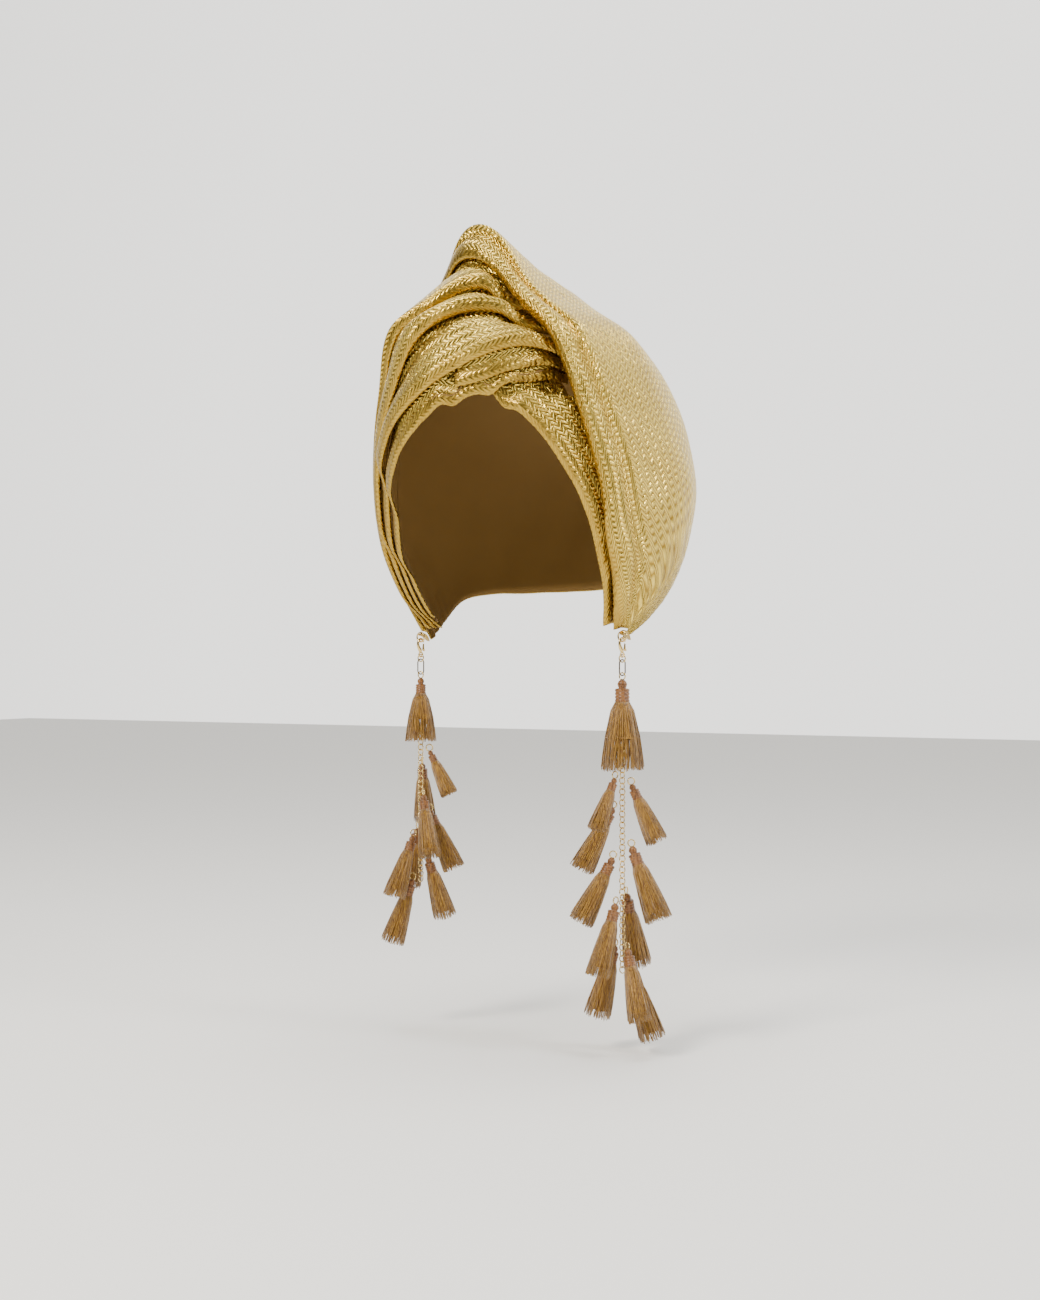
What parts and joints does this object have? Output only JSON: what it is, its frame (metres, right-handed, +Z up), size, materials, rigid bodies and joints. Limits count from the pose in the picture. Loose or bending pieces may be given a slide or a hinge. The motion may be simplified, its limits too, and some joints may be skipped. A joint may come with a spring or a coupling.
{
  "type": "turban headband",
  "caption": "Wrapped metallic herringbone turban headband with an open head hollow and a clasped hanging string of thread tassels at each ear.",
  "frame": {"origin": "on the wearer's head axis at the level of the forehead sizing line, inside the head hollow", "axes": "+Z up towards the crown, -Y out of the face, +X towards the wearer's left ear"},
  "size_m": [0.197, 0.2184, 0.493],
  "materials": {
    "cloth": "metallic gold foil cloth embossed with a herringbone",
    "thread": "satin golden-brown thread",
    "pale_metal": "polished pale gold plate",
    "dark_metal": "antiqued dark brass"
  },
  "bodies": {
    "turban": {"hood": "cloth", "pleat_top": "cloth", "pleat_upper": "cloth", "pleat_middle": "cloth", "knot_band": "cloth", "brow_roll": "cloth", "temple_flap": "cloth", "ear_tab_left": "cloth", "ear_tab_right": "cloth", "ear_ring_left": "pale_metal", "clasp_left": "pale_metal", "link_ring_left": "pale_metal", "chain_left": "pale_metal", "ear_ring_right": "pale_metal", "clasp_right": "pale_metal", "link_ring_right": "pale_metal", "chain_right": "pale_metal", "bail_left": "dark_metal", "bail_right": "dark_metal", "tassel_left_01": "thread", "tassel_left_02": "thread", "tassel_left_03": "thread", "tassel_left_04": "thread", "tassel_left_05": "thread", "tassel_left_06": "thread", "tassel_left_07": "thread", "tassel_left_08": "thread", "tassel_left_09": "thread", "tassel_left_10": "thread", "tassel_left_11": "thread", "tassel_right_01": "thread", "tassel_right_02": "thread", "tassel_right_03": "thread", "tassel_right_04": "thread", "tassel_right_05": "thread", "tassel_right_06": "thread", "tassel_right_07": "thread", "tassel_right_08": "thread", "tassel_right_09": "thread"},
    "clasp_left_lever": {"clasp_lever_left": "pale_metal"},
    "clasp_right_lever": {"clasp_lever_right": "pale_metal"}
  },
  "joints": [
    {"name": "clasp_left_lever_hinge", "type": "hinge", "parent": "turban", "child": "clasp_left_lever", "pos_m": [0.07462, -0.00073, -0.1297], "axis": [0.8829, -0.4695, 0], "range_deg": [0, 18], "stiffness_Nm_per_rad": 0.01},
    {"name": "clasp_right_lever_hinge", "type": "hinge", "parent": "turban", "child": "clasp_right_lever", "pos_m": [-0.06504, -0.00073, -0.1297], "axis": [0.8829, -0.4695, 0], "range_deg": [0, 18], "stiffness_Nm_per_rad": 0.01}
  ]
}
